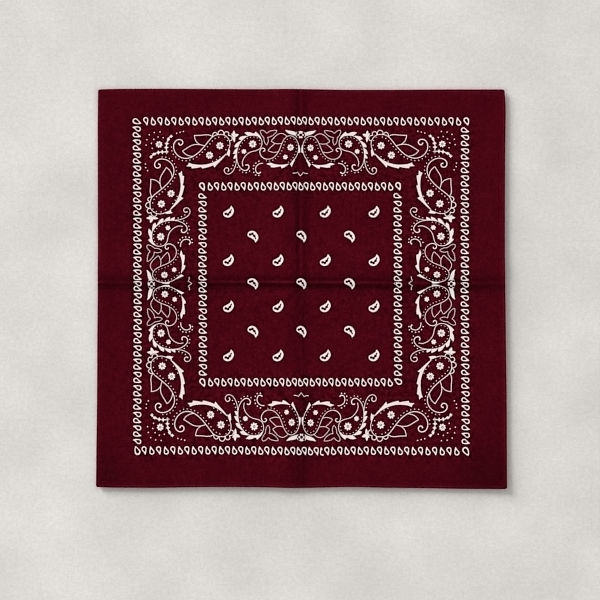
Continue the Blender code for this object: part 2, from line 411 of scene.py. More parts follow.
def stitches(sides):
    """Every stitch on the face and on the back, as short plump threads in one mesh."""
    ring, stations = 5, ((0.0, 0.35, -0.75), (0.18, 0.95, -0.05), (0.5, 1.1, 0.25), (0.82, 0.95, -0.05), (1.0, 0.35, -0.75))
    base, walls = [], []
    starts = []
    for side in sides:
        reach = (HALF_HEIGHT if side in ("left", "right") else HALF_WIDTH) - STITCH_LINE
        n = int(2 * reach / (STITCH + GAP))
        pitch = 2 * reach / n
        for k in range(n):
            wander = 0.12 * sin(k * 0.9) + 0.1 * sin(k * 0.23 + 1.0)
            starts.append((side, -reach + k * pitch + 0.5 * GAP, wander, 1))
            if k < n - 1:
                starts.append((side, -reach + (k + 0.5) * pitch + 0.5 * GAP, wander, -1))
    across = {"left": (-1, 0), "right": (1, 0), "top": (0, 1), "bottom": (0, -1)}
    rows = []
    for side, c, wander, face in starts:
        sx, sy = across[side]
        for share, fat, lift in stations:
            at = c + STITCH * share
            e = STITCH_LINE + wander
            if sx:
                a, b = sx * (HALF_WIDTH - e), at
            else:
                a, b = at, sy * (HALF_HEIGHT - e)
            rows.append((a, b, fat, lift, face, abs(sx)))
    a, b, fat, lift, face, upright = np.array(rows).T
    x, y = outline(a, b)
    top = top_of(a, b)
    low = ground(a, b) + 0.12
    z = np.where(face > 0, top + lift * THREAD, low - lift * THREAD + 0.02)
    points = []
    for k in range(ring):
        ang = 2 * pi * k / ring + pi / 2
        dx = np.where(upright > 0, cos(ang), 0) * THREAD * fat
        dy = np.where(upright > 0, 0, cos(ang)) * THREAD * fat
        points.append(np.stack([x + dx, y + dy, np.maximum(z + sin(ang) * THREAD * fat * 0.8, 0.0)], 1))
    points = np.stack(points, 1).reshape(-1, 3)  # row by row, ring by ring
    faces, m = [], len(stations)
    for s in range(len(starts)):
        first = s * m * ring
        turn = (starts[s][0] in ("left", "right"))
        for t in range(m - 1):
            for k in range(ring):
                l = (k + 1) % ring
                f = (first + t * ring + k, first + t * ring + l, first + (t + 1) * ring + l, first + (t + 1) * ring + k)
                faces.append(f if turn else f[::-1])
        cap = tuple(first + k for k in range(ring))
        end = tuple(first + (m - 1) * ring + k for k in range(ring))
        faces.append(cap[::-1] if turn else cap)
        faces.append(end if turn else end[::-1])
    return mesh_of("hem_stitches", points, faces)

# -------------------------------------------------- the print, on its chart ----
# A traditional bandana border: paisleys, flowers, leaves and beads, drawn here
# from simple curves.  The chart's squares count from the upper left, y down;
# one square is 1.3464 mm.  The border's chart is half of one side, and the
# whole border is that half laid eight times, mirrored and turned.
SQUARE = 1.3464
FINE = 0.59  # a drawn line's width
BEAD = 0.45  # a small bead's radius
BIG_BEAD = 0.56


def curve(handles, step=0.6):
    """A smooth open line through a few handles."""
    p = [handles[0]] + list(handles) + [handles[-1]]
    out = [handles[0]]
    for a, b, c, d in zip(p, p[1:], p[2:], p[3:]):
        n = max(1, int(hypot(c[0] - b[0], c[1] - b[1]) / step + 0.5))
        for k in range(1, n + 1):
            t = k / n
            out.append(tuple(
                0.5 * (2 * b[i] + (c[i] - a[i]) * t
                       + (2 * a[i] - 5 * b[i] + 4 * c[i] - d[i]) * t * t
                       + (3 * b[i] - a[i] - 3 * c[i] + d[i]) * t ** 3)
                for i in (0, 1)))
    return out


def bow(a, b, swell_by, n=0):
    """A single arch from a to b that stands off the straight line by swell_by."""
    dx, dy = b[0] - a[0], b[1] - a[1]
    length = hypot(dx, dy) or 1.0
    n = n or max(3, int(length / 0.7))
    nx, ny = dy / length, -dx / length
    return [(a[0] + dx * k / n + nx * 4 * swell_by * (k / n) * (1 - k / n),
             a[1] + dy * k / n + ny * 4 * swell_by * (k / n) * (1 - k / n)) for k in range(n + 1)]


def arc(x, y, r, start, stop, n=8):
    return [(x + r * cos(start + (stop - start) * k / n), y + r * sin(start + (stop - start) * k / n))
            for k in range(n + 1)]


def circle(x, y, r, n=10, stretch=1.0, turn=0.0):
    out = []
    for k in range(n):
        u, v = r * cos(2 * pi * k / n) * stretch, r * sin(2 * pi * k / n)
        out.append((x + u * cos(turn) - v * sin(turn), y + u * sin(turn) + v * cos(turn)))
    return out


def normals(line):
    out = []
    for i in range(len(line)):
        a, b = line[max(i - 1, 0)], line[min(i + 1, len(line) - 1)]
        dx, dy = b[0] - a[0], b[1] - a[1]
        n = hypot(dx, dy) or 1.0
        out.append((-dy / n, dx / n))
    return out


def beside(line, off):
    return [(x + nx * off, y + ny * off) for (x, y), (nx, ny) in zip(line, normals(line))]


def part(line, start, stop):
    n = len(line) - 1
    return line[int(start * n + 0.5):int(stop * n + 0.5) + 1]


def spot(line, share):
    return line[int(share * (len(line) - 1) + 0.5)]


class Ink:
    """The inked areas of one part of the print, each an outline and its holes."""

    def __init__(self):
        self.areas = []

    def area(self, edge, holes=()):
        self.areas.append((list(edge), [list(h) for h in holes]))

    def dot(self, x, y, r, n=9):
        self.area(circle(x, y, r, n))

    def beads(self, line, gap, r, start=0.0):
        """Beads strung along a line at an even gap."""
        due, run = start, 0.0
        if start == 0.0:
            self.dot(line[0][0], line[0][1], r)
            due = gap
        for a, b in zip(line, line[1:]):
            step = hypot(b[0] - a[0], b[1] - a[1])
            while step and run + step >= due - 1e-6:
                t = (due - run) / step
                self.dot(a[0] + t * (b[0] - a[0]), a[1] + t * (b[1] - a[1]), r)
                due += gap
            run += step

    def band(self, line, left, right):
        """The strip between left and right of a line; each is a width for each of its points."""
        norm = normals(line)
        one = [(x + nx * h, y + ny * h) for (x, y), (nx, ny), h in zip(line, norm, left)]
        two = [(x - nx * h, y - ny * h) for (x, y), (nx, ny), h in zip(line, norm, right)]
        for i in range(0, len(line) - 1, 6):
            j = min(i + 6, len(line) - 1)
            self.area(one[i:j + 1] + two[i:j + 1][::-1])

    def stroke(self, line, width=FINE, ends=None):
        """A drawn line; ends are its widths where it starts and stops."""
        first, last = ends or (width, width)
        n = len(line) - 1
        half = []
        for i in range(n + 1):
            t = i / n
            w = first + (width - first) * min(1.0, t / 0.3)
            if t > 0.7:
                w = last + (width - last) * ((1 - t) / 0.3)
            half.append(w / 2)
        self.band(line, half, half)
        for (x, y), h in ((line[0], half[0]), (line[-1], half[-1])):
            self.dot(x, y, h, 8)

    def flower(self, x, y, r, petals, eye, turn=0.0, squash=1.0):
        n = petals * 6
        edge = []
        for k in range(n):
            a = 2 * pi * k / n
            reach = r * (0.66 + 0.32 * abs(cos(petals * a / 2)) ** 0.8)
            edge.append((x + squash * reach * cos(a + turn), y + reach * sin(a + turn)))
        if eye:
            self.area(edge, [circle(x, y, eye, 12)])
            self.dot(x, y, eye * 0.52, 8)
        else:
            self.area(edge)

    def leaf(self, tip, a, b, swell_a, swell_b, width=FINE):
        """A leaf in outline, from its tip to the two places where it joins a line."""
        self.stroke(bow(tip, a, swell_a), width)
        self.stroke(bow(tip, b, swell_b), width)

    def blade(self, root, tip, width, bend=0.0):
        """A solid pointed leaf."""
        mid = bow(root, tip, bend, 8)
        half = [width / 2 * (1 - k / 8) ** 0.65 * (0.75 + 0.7 * k / 8) for k in range(9)]
        self.band(mid, half, half)

    def petal(self, root, tip, width):
        mid = bow(root, tip, 0.0, 8)
        half = [width / 2 * max(0.0, sin(pi * (0.12 + 0.88 * k / 8))) ** 0.8 for k in range(9)]
        self.band(mid, half, half)

    def sliver(self, line, width, lean=0.5):
        """A solid crescent along a line; lean puts its width to one side."""
        n = len(line) - 1
        full = [width * max(0.0, sin(pi * k / n)) ** 0.6 for k in range(n + 1)]
        self.band(line, [w * lean for w in full], [w * (1 - lean) for w in full])

    def star(self, x, y, wide, high, waist):
        """A four-pointed knot."""
        self.area([(x + (wide if k % 2 == 0 else waist) * cos(k * pi / 4), y + (high if k % 2 == 0 else waist) * sin(k * pi / 4))
                   for k in range(8)])


def corner(i):
    """The flower in its spray of dots, on the corner's diagonal."""
    i.flower(159.0, 144.2, 3.5, 8, 1.15, 0.2)
    for x, y in ((160.0, 131.4), (154.3, 132.1), (149.3, 134.4), (146.9, 139.4), (146.1, 144.9),
                 (163.1, 137.4), (158.1, 136.6), (153.8, 139.0), (151.4, 143.1), (152.2, 148.1)):
        i.dot(x, y, BIG_BEAD)


def sprig(i):
    """One arm of the corner's knotty sprig."""
    stem = curve([(166.6, 151.7), (166.2, 147.3), (166.7, 143.3), (167.6, 140.4), (169.3, 137.4), (171.2, 135.9)])
    i.stroke(stem, 0.86)
    i.star(166.5, 151.5, 1.9, 1.9, 1.0)
    i.star(166.3, 147.3, 2.2, 1.7, 1.15)
    i.star(166.8, 143.3, 2.1, 1.8, 1.15)
    i.star(168.3, 138.9, 1.5, 2.1, 1.2)
    i.star(171.1, 135.9, 1.9, 1.7, 0.95)


def trio_level(i):
    """The three beads past the sprig, along the top and the bottom."""
    i.beads([(176.6, 132.8), (180.1, 131.8), (183.6, 130.9)], 3.5, BIG_BEAD)


def trio_upright(i):
    """The same three beads, up the left and the right."""
    i.beads([(178.2, 130.1), (182.0, 130.3), (185.4, 132.3)], 3.75, BIG_BEAD)


def paisley_a(i):
    """The corner paisley: a scalloped head, a beaded back and a curled tail."""
    line = curve([(178.7, 143.4), (179.5, 144.7), (181.3, 144.6), (182.7, 142.7), (182, 140.3), (179.5, 139.2), (176.4, 140.1),
                  (174.2, 142.9), (173.5, 146.7), (174.5, 151), (177.3, 155), (181.6, 157.7), (186.7, 158.4), (192, 156.9),
                  (198.5, 152.4), (204.6, 145.8), (209.3, 139.8), (212.6, 136.4), (216.2, 134.6), (220, 134.2), (223.7, 134.5),
                  (227.2, 137), (229.4, 140.8), (229.8, 144.8), (228.8, 149)])
    i.stroke(line, FINE + 0.14, (0.95, FINE))
    i.dot(178.7, 143.3, 0.7)
    for bump in (((212.5, 135.9), (212.8, 133.5), (214.8, 131.9), (216.7, 132.9), (217.3, 134.3)),
                 ((217.9, 134.1), (218.4, 131.4), (220.9, 129.8), (223.2, 131.2), (223.8, 134.1)),
                 ((224.1, 134.3), (224.6, 132.1), (226.7, 131.2), (228.7, 132.6), (228.3, 135.1)),
                 ((228.6, 135.1), (230.7, 135.5), (232.2, 137.5), (231.7, 139.7), (229.9, 140.6))):
        i.stroke(curve(bump), FINE + 0.14)
    i.flower(219.8, 145.5, 3.8, 8, 1.2, 0.1)
    i.flower(209.4, 155.2, 3.75, 8, 1.2, 0.3)
    i.stroke(curve([(212.2, 136.2), (209.9, 134.9), (206.4, 134.4), (200.5, 134.9), (194.3, 135.1)]), FINE + 0.06)
    i.stroke(curve([(194.3, 135.1), (194.8, 138.2), (196.4, 141.6), (199.6, 144.4)]), FINE + 0.06)
    i.stroke(curve([(204.6, 145.7), (200.2, 144.5), (196.2, 144.2), (192, 145), (187.3, 147.7), (182.4, 150.9)]), FINE + 0.06)
    i.stroke(curve([(182.4, 150.9), (184.7, 153.5), (188, 155.5), (192.4, 156.5)]), FINE + 0.06)
    i.beads(curve([(171.5, 146.9), (171.9, 151), (173.3, 154.2), (175.5, 156.9), (180.9, 160.1), (184.3, 160.8), (188, 160.5),
                   (194.7, 158.3), (200.5, 153.8), (206.5, 147.6), (212.5, 140.4), (216, 137.7), (220.4, 136.3)]), 3.78, BEAD + 0.02)
    for x, y in ((224.8, 136.9), (227.4, 140.3), (227.9, 145.1), (225.8, 149.6), (219.7, 156.9), (216.5, 159.6), (212.6, 161.5)):
        i.dot(x, y, BEAD + 0.02)
    # the feather that closes it
    i.area(curve([(188.8, 162.9), (192.5, 164.3), (197.5, 164.9), (202.5, 165.0), (208, 164.2), (213.6, 162.3), (218.3, 159.8),
                  (222, 157.0), (226, 153.6)], 1.2)
           + [(226, 154.3), (222.8, 158.3), (219.4, 161.9), (216.8, 164.6), (214.3, 167.7), (213.2, 165.4), (209.5, 166.8), (206.5, 167.7),
              (202.2, 168.7), (200.9, 167.1), (197.5, 167.9), (191.9, 168.6), (191.0, 166.7), (186.3, 166.4), (188.2, 164.9)])
    i.area([(228.7, 148.2), (229.9, 150.6), (229.7, 153.5), (229.1, 156.6), (227.6, 154.9), (225.9, 155.2), (227.2, 152.2)])


def fleuron(i):
    """The small solid flower between the paisleys."""
    for root, tip, width in (((233.7, 137.2), (233.8, 130.1), 2.8), ((233.0, 136.1), (238.6, 133.9), 2.9),
                             ((233.7, 134.2), (234.2, 142.0), 2.5), ((235.0, 136.8), (231.2, 133.2), 2.6)):
        i.petal(root, tip, width)


def paisley_b(i):
    """The upright paisley: leaves thrown back along its outer side, and a curled stem."""
    outer = curve([(262, 143.4), (261.8, 140.6), (260.6, 137.9), (258, 135.7), (254.4, 134.9), (250, 135), (246, 136.5), (242.4, 139.4),
                   (239.3, 143.6), (237.3, 148.6), (236.6, 154), (236.8, 159.5), (237.9, 163.9), (240.4, 168.2), (244, 170.7),
                   (247, 170.3), (248.8, 168), (248.6, 165.8), (247, 164.9), (245.8, 165.4)])
    i.stroke(outer, FINE, (FINE, 0.95))
    i.stroke(curve([(262, 143.4), (261.4, 146.2), (259.6, 148.7), (256.4, 150.4), (251.6, 151.6), (248.3, 153.2), (245.4, 155.9),
                    (243.4, 159), (242.3, 162.6), (242.8, 166.2)]), FINE)
    i.flower(252.6, 143.8, 3.85, 8, 1.2, 0.15)
    i.flower(243.9, 151.4, 2.5, 6, 0.0, 0.3)
    for edge, back in (
            ([(255.5, 131.3), (257.9, 133.3), (260.2, 135.9), (261.8, 139.6)],
             [(260.2, 138.2), (257.6, 136), (253.6, 135.2), (249.2, 135.5), (247.2, 134.9), (244.4, 132.3), (247.3, 131.6), (250.4, 132), (252.9, 133.2), (254.6, 132.9)]),
            ([(238.6, 138.8), (240.3, 136.6), (243, 135.9), (246.3, 135.4)], [(246.4, 136.5), (243.2, 138.4), (241.6, 140.1), (240.2, 139.4)]),
            ([(234.4, 146.8), (235.3, 144.4), (237.5, 142.4), (240.8, 140.2)], [(240.8, 141.8), (238.8, 144.8), (237.1, 147), (235.8, 147.2)]),
            ([(233.0, 153.7), (234, 151.2), (235.2, 149.4), (237.2, 147.6)], [(237.4, 150.2), (236.5, 153.3), (234.8, 153.9)]),
            ([(233.3, 158.4), (234.3, 155.9), (235.5, 154.2), (236.7, 153.0)], [(236.8, 155.6), (236.3, 158.0), (234.8, 158.6)])):
        i.area(curve(edge, 1.2) + back)
    i.stroke(curve([(236.5, 158.4), (236.1, 162.5), (235.2, 166.5), (233.5, 170.3), (231.3, 173.0), (228.5, 174.4), (226, 173.9),
                    (224.3, 171.8), (224.5, 169.3), (226.3, 167.9), (228.2, 168.7), (228.7, 170.3), (228, 171.5)]), FINE, (FINE, 0.85))
    for x, y in ((234.3, 162.1), (233.0, 165.6), (231.3, 168.9), (237.3, 167.6), (239.8, 170.5), (242.7, 172.5), (246.1, 173.0), (249.5, 171.4)):
        i.dot(x, y, BEAD + 0.05)
    i.beads(curve([(260.0, 143.6), (259.6, 140.4), (258, 138), (254.9, 136.8), (251.4, 136.7), (248.2, 137.5), (245, 139.5), (242.5, 142.1),
                   (240.6, 145.1), (239.3, 148.4), (238.6, 151.6), (238.4, 155)]), 3.5, BEAD - 0.04)


def tulip(i):
    """The three-petalled flower in outline."""
    i.stroke(curve([(263.9, 137.6), (262.1, 135.4), (260.8, 133), (260.4, 131.1), (261.4, 129.8), (263.1, 130), (265, 131.2), (266.8, 132.8),
                    (269, 131.2), (272.4, 130.3), (275.2, 130), (276.8, 130.4), (275.7, 132.6), (273.3, 134.9), (270.5, 136.5), (267.6, 137.2)]), FINE - 0.17)
    i.stroke(curve([(263.9, 137.6), (264, 140.2), (265, 143), (266.7, 144.7), (268.1, 142), (268.2, 139.3), (267.6, 137.2)]), FINE - 0.17)


def hook(i):
    """A beaded hook that fills the gap between two paisleys."""
    i.stroke(curve([(262.6, 163.5), (259.2, 164.1), (256.4, 166.5), (255.5, 169.6), (256.4, 172.7), (258.5, 173.8), (260.4, 172.7)]), FINE + 0.07 + 0.05, (FINE + 0.07, 1.1))
    for x, y in ((258.8, 161.5), (255.9, 163.3), (253.8, 165.9), (253.3, 169.1), (253.8, 172.7), (255.7, 175.3), (258.8, 175.6)):
        i.dot(x, y, BIG_BEAD + 0.05 - 0.02)


def paisley_c(i):
    """The leaning paisley: a plain head, a beaded back and a curled tail."""
    line = curve([(263.4, 151.3), (264.7, 150.7), (264.8, 149.2), (263.3, 148.1), (261.5, 148.4), (260.1, 150.2), (259.8, 152.6),
                  (260.8, 155.5), (263.1, 158), (266.1, 159.2), (269.5, 159.2), (272.9, 157.9), (275.9, 155.4), (278.2, 152.2),
                  (280, 148.4), (281.7, 144), (283.7, 140), (286.3, 136.9), (289.2, 135.7), (292.2, 136.1), (295, 138.2),
                  (297, 141.5), (297.9, 145.2), (298, 149), (297.3, 153), (295.7, 157.1), (293.6, 160.1), (291.8, 162.4)])
    i.stroke(line, FINE - 0.08, (0.8, FINE))
    i.area([(297.8, 143.8), (298.9, 146.0), (299.4, 149.2), (299.4, 152.0), (298.3, 152.9), (297.4, 152.7), (297.7, 149)])
    i.flower(290.5, 147.5, 3.5, 8, 1.1, 0.0, 0.93)
    i.flower(285.4, 157.3, 2.45, 6, 0.0, 0.2)
    i.stroke(curve([(286.9, 136.2), (285.2, 134.8), (282.6, 133.5), (279.8, 133.4), (276.4, 135.2), (273.6, 138.1), (271.4, 140.9),
                    (272.8, 142.2), (275, 143.4), (278.2, 143.8), (281.7, 143.4)]), FINE - 0.12)
    i.stroke(curve([(274.8, 143.9), (271.8, 146.3), (269.4, 148.7), (268.2, 150.4), (270.7, 151.8), (274.1, 152.5), (278.2, 151.9)]), FINE - 0.12)
    i.beads(curve([(290.3, 138.1), (287.4, 139.2), (285.2, 141.6), (284.1, 144.7), (283.2, 147.6), (282.1, 150.3), (280.6, 153.2),
                   (278.5, 156.2), (275.4, 158.9), (272.4, 160.7), (268.8, 161.3), (265.3, 160.7)]), 3.3, BEAD - 0.07)
    i.beads(curve([(293.8, 139.3), (295.6, 141.8), (296.4, 144.8), (296.4, 148.2), (295.8, 151.4), (294.8, 154.3), (293.4, 157.2),
                   (291.6, 159.8), (289.2, 162.2), (285.8, 163.6)]), 3.3, BEAD - 0.07)
    i.area(curve([(266.3, 164.3), (268.8, 163.3), (270.6, 163.0), (273.4, 164.1), (277.4, 165.0), (282.2, 165.2), (286.2, 164.7), (289.2, 164.0)], 1.2)
           + [(288.4, 164.7), (286.4, 166.2), (284.2, 167.8), (281.8, 168.7), (280.7, 166.7), (277.4, 167.2), (273.6, 167.8), (270.9, 167.5),
              (270.7, 165.7), (268.6, 165.1)])
    i.area([(294.9, 159.6), (293.1, 163.6), (291.6, 167.2), (290.7, 165.4), (290.0, 164.5), (291.7, 162.3), (293.4, 160.0)])


def wing(i):
    """One wing of the rosette on the border's middle."""
    i.area(curve([(285.2, 129.7), (288.1, 130.4), (291.2, 130.8), (294.0, 131.5), (295.9, 132.6)], 1.2)
           + [(295.8, 135.6)] + curve([(294.2, 135.3), (292, 134.6), (289.2, 133.6), (287.2, 132.3), (286, 131.0)], 1.2))


def peak(i):
    """The small peak on the middle of one side, drawn whole."""
    x = 300.6
    for s in (-1, 1):
        i.stroke([(x + s * 6.8, 173.9), (x + s * 5.6, 173.9), (x + s * 4.3, 173.8), (x + s * 3.5, 173.3), (x + s * 2.8, 172.8),
                  (x + s * 1.9, 174.1), (x + s * 1.0, 175.3), (x, 176.5)], FINE - 0.08, (0.66, FINE - 0.08))


def middle(i):
    """The rosette on the middle of one side: lobes round a dark heart, with small dark gaps between them."""
    x, y = 300.6, 134.3
    edge = []
    for k in range(48):
        a = 2 * pi * k / 48
        reach = 0.95 + 0.05 * cos(8 * a)
        edge.append((x + 5.5 * reach * cos(a), y + 3.7 * reach * sin(a)))
    holes = [circle(x, y + 0.15, 1.6, 10), circle(x, y + 3.9, 1.0, 8)]
    for dx, dy, r in ((-3.9, 0.2, 1.2), (3.9, 0.2, 1.2), (-2.4, 2.0, 1.2), (2.4, 2.0, 1.2), (-2.5, -1.8, 1.2), (2.5, -1.8, 1.2)):
        holes.append(circle(x + dx, y + dy, r, 8))
    i.area(edge, holes)


def egg(x0, y0, r0, x1, y1, r1, n, left=0.0, right=0.0):
    """A drop in outline: a round body and a small round tip; each flank between them swells by its own amount."""
    toward, open_by = atan2(y1 - y0, x1 - x0), acos((r0 - r1) / hypot(x1 - x0, y1 - y0))
    body = arc(x0, y0, r0, toward + open_by, toward + 2 * pi - open_by, n)
    tip = arc(x1, y1, r1, toward - open_by, toward + open_by, 3)
    return body + bow(body[-1], tip[0], left)[1:-1] + tip + bow(tip[-1], body[0], right)[1:-1]


# One drop with its tip up, by its slant: how far its tip is to the left.
TIP_LEFT = {"up": 1.15, "down": 1.1, "left": 1.6, "right": 1.6}


def drop_shape(tip_left):
    """The drop's outline and its eye, round the middle of its row."""
    at = 0.29 * tip_left
    edge = egg(at, 1.6, 2.5, at - tip_left - 0.15, -3.7, 0.36, 14, 0.27 * tip_left - 0.1, -0.2)
    eye = egg(at - 0.08, 1.47, 1.57, at - 0.64 * tip_left - 0.1, -1.05, 0.38, 10)
    return edge, eye


def drop(i, way):
    """One ring-shaped drop of the two narrow borders; way is where its point is."""
    def put(p):
        return {"up": p, "down": (-p[0], -p[1]), "left": (p[1], p[0]), "right": (-p[1], -p[0])}[way]
    edge, eye = drop_shape(TIP_LEFT[way])
    i.area([put(p) for p in edge], [[put(p) for p in eye]])


def corner_drop(i, body, tip, left, right, eye):
    """A larger drop on a narrow border's corner: its body and tip, how its flanks swell, and its eye's two ends."""
    i.area(egg(*body, *tip, 14, left, right), [egg(*eye, 10, 0.1, 0.1)])


def buti(i, flip):
    """The field's small solid comma with dark marks in it."""
    s = -1 if flip else 1
    def put(p):
        return 0.915 * p[0], 0.915 * s * p[1]
    edge = curve([(2.9, -6.6), (5.2, -3.4), (5.5, 0.4), (2.4, 4.9), (-1.8, 6), (-5.3, 4), (-5.6, 0.6), (-2.2, -1.6), (1.2, -3.8), (2.5, -6.2)], 0.7)
    holes = [circle(-3.1, 2.05, 1.55, 8, 1.05, 0.1), circle(-1.9, 2.3, 0.85, 8), circle(-0.7, 2.85, 1.6, 8, 1.0, 0.3),
             circle(0.3, 1.7, 0.85, 8), circle(1.4, 0.5, 1.5, 8, 1.15, -0.7), circle(2.65, -1.9, 0.8, 8, 1.9, -1.15)]
    i.area([put(p) for p in edge], [[put(p) for p in h] for h in holes])

# -------------------------------------------------- the print, on the cloth ----
CHART_X, CHART_Y = 301.8, 289.1  # the chart's square that lies on the cloth's origin
MIDDLE = np.array([300.1, 284.7])  # the square that the border turns about

# The half border's eight places: (across from dx, across from dy, down from dx, down from dy).
PLACES = {
    "top": ((1, 0, 0, 1), (-1, 0, 0, 1)),
    "bottom": ((1, 0, 0, -1), (-1, 0, 0, -1)),
    "left": ((0, 1, 1, 0), (0, 1, -1, 0)),
    "right": ((0, -1, 1, 0), (0, -1, -1, 0)),
}


def slack(q):
    """How far the cloth, never quite square, shifts the print at q squares from its middle."""
    x, y = q[:, 0] / 150.0, q[:, 1] / 150.0
    dx = -0.22 + 0.36 * y + 0.26 * y * y - 0.15 * y ** 3 - 1.74 * x - 0.34 * x * y + 0.61 * x * y * y + 0.45 * x * x + 0.10 * x * x * y + 1.37 * x ** 3
    dy = -1.45 + 1.70 * y + 1.35 * y * y - 1.34 * y ** 3 + 0.06 * x + 0.13 * x * y + 0.05 * x * y * y + 0.94 * x * x - 0.54 * x * x * y - 0.23 * x ** 3
    return np.stack([dx, dy], 1)


def filled(ink, fine=lambda x, y: False, pitch=1.9):
    """The inked areas as one flat set of triangles, with points inside the larger ones."""
    points, polygons, holes_of = [], [], []

    def take(edge):
        if sum(a[0] * b[1] - b[0] * a[1] for a, b in zip(edge, edge[1:] + edge[:1])) < 0:
            edge = edge[::-1]
        ring = []
        for (ax, ay), (bx, by) in zip(edge, edge[1:] + edge[:1]):
            step = hypot(bx - ax, by - ay)
            if step < 1e-4:
                continue
            n = max(1, int(step / 1.5 + 0.999))
            for k in range(n):
                ring.append(len(points))
                points.append(Vector((ax + (bx - ax) * k / n, ay + (by - ay) * k / n)))
        polygons.append(ring)
        return len(polygons) - 1

    for edge, holes in ink.areas:
        own = take(edge)
        holes_of.append((own, [take(h) for h in holes]))
    xs, ys = [p.x for p in points], [p.y for p in points]
    y = min(ys) + 0.4
    while y < max(ys):
        x = min(xs) + 0.37
        while x < max(xs):
            points.append(Vector((x, y)))
            x += 0.8 if fine(x, y) else pitch
        y += pitch
    out, _, faces, _, _, origins = delaunay_2d_cdt(points, [], polygons, 0, 1e-4, True)
    holes = {own: set(h) for own, h in holes_of}
    kept = []
    for face, of in zip(faces, origins):
        of = set(of)
        if any(own in holes and not (holes[own] & of) for own in of):
            kept.append(tuple(face))
    used = sorted({v for f in kept for v in f})
    new = {v: k for k, v in enumerate(used)}
    flat = np.array([(out[v].x, out[v].y) for v in used])
    triangles = np.array([[new[v] for v in f] for f in kept])
    # every triangle turns the same way on the chart
    p = flat[triangles]
    area = (p[:, 1, 0] - p[:, 0, 0]) * (p[:, 2, 1] - p[:, 0, 1]) - (p[:, 1, 1] - p[:, 0, 1]) * (p[:, 2, 0] - p[:, 0, 0])
    triangles[area < 0] = triangles[area < 0][:, ::-1]
    return flat, triangles[np.abs(area) > 1e-7]


INK_OVER, INK_UNDER = 0.07, 0.04  # how far the ink stands over the cloth and soaks into it


def printed(name, copies):
    """One piece of print from flat copies of charted shapes: (squares, triangles)."""
    points, faces, edges = [], [], []
    base = 0
    for squares, triangles in copies:
        x = (squares[:, 0] - CHART_X) * SQUARE
        y = (CHART_Y - squares[:, 1]) * SQUARE
        z = surface(x, y)
        n = len(squares)
        points.append(np.stack([x, y, z + INK_OVER], 1))
        points.append(np.stack([x, y, z - INK_UNDER], 1))
        # the chart's y runs down, so its triangles are turned over for the cloth
        p = np.stack([x, y], 1)[triangles]
        area = (p[:, 1, 0] - p[:, 0, 0]) * (p[:, 2, 1] - p[:, 0, 1]) - (p[:, 1, 1] - p[:, 0, 1]) * (p[:, 2, 0] - p[:, 0, 0])
        t = triangles.copy()
        t[area < 0] = t[area < 0][:, ::-1]
        faces.append(t + base)
        faces.append(t[:, ::-1] + n + base)
        sides = np.concatenate([t[:, [0, 1]], t[:, [1, 2]], t[:, [2, 0]]])
        there = set(map(tuple, sides.tolist()))
        rim = np.array([e for e in there if (e[1], e[0]) not in there])
        u, v = rim[:, 0] + base, rim[:, 1] + base
        faces.append(np.stack([v, u, u + n], 1))
        faces.append(np.stack([v, u + n, v + n], 1))
        base += 2 * n
    mesh = mesh_of(name, np.concatenate(points), np.concatenate(faces).tolist(), False)
    return mesh


def near_fold(x, y):
    return abs(x - 300.0) < 8 or abs(y - 284.0) < 8


def border_charts():
    level, upright, whole, small, angle = Ink(), Ink(), Ink(), Ink(), Ink()
    for half, trio in ((level, trio_level), (upright, trio_upright)):
        for draw in (sprig, trio, paisley_a, fleuron, paisley_b, tulip, hook, paisley_c, wing):
            draw(half)
    middle(whole)
    peak(small)
    corner(angle)
    return filled(level, near_fold), filled(upright, near_fold), filled(whole, near_fold), filled(small, near_fold), filled(angle)


# How far the print was pulled on each side of the cloth: (square along the side, across, down).
TUGS = {
    "top": ((146, 0, 0.1), (206, 0.1, 0.1), (290, 0, 0.1), (306, 1.2, 0.3), (350, 1.3, 0.1), (378, 0.9, 0.1), (406, 0.7, 0.1), (426, 1.0, 0.1), (455, 0.7, 0.1)),
    "bottom": ((146, 0.1, 0.4), (166, 0, 0.6), (186, 0.3, 0.4), (226, 0.4, 1), (250, 0.9, 1.2), (270, 1, 1), (290, 0.7, 1), (310, 0.9, 1.5), (340, 0.4, 1.1),
               (386, 0.4, 0.9), (406, 0.3, 0.6), (426, 1, 0.5), (455, 1, 0.9)),
    "left": ((140, 0, 0.4), (166, 0.2, 0.6), (186, 0.1, 0.4), (206, -0.2, 0.2), (230, 0.2, 0.2), (255, 0.6, 0.5), (284, 0.1, 0.3), (300, 0.5, 0.7), (340, 0.2, 1),
             (375, -0.2, 0.5), (390, -0.2, 0.4), (410, -0.1, 0.8), (450, -0.2, 0.8)),
    "right": ((140, 0.8, 0.2), (166, 0.8, 0.2), (200, 1.1, 0.3), (240, 0.9, 0.2), (270, 0.6, 0.3), (286, 1.0, 0.1), (300, 0.7, 0.7), (340, 1.3, 1.1),
              (380, 1.2, 0.5), (410, 1.0, 0.7), (450, 1.0, 0.7)),
}
# How much each side's band was drawn in across its depth, about its middle.
DRAWN_IN = {"top": (150.0, 0.017), "bottom": (420.0, -0.012), "left": (164.0, 0.040), "right": (436.0, 0.023)}


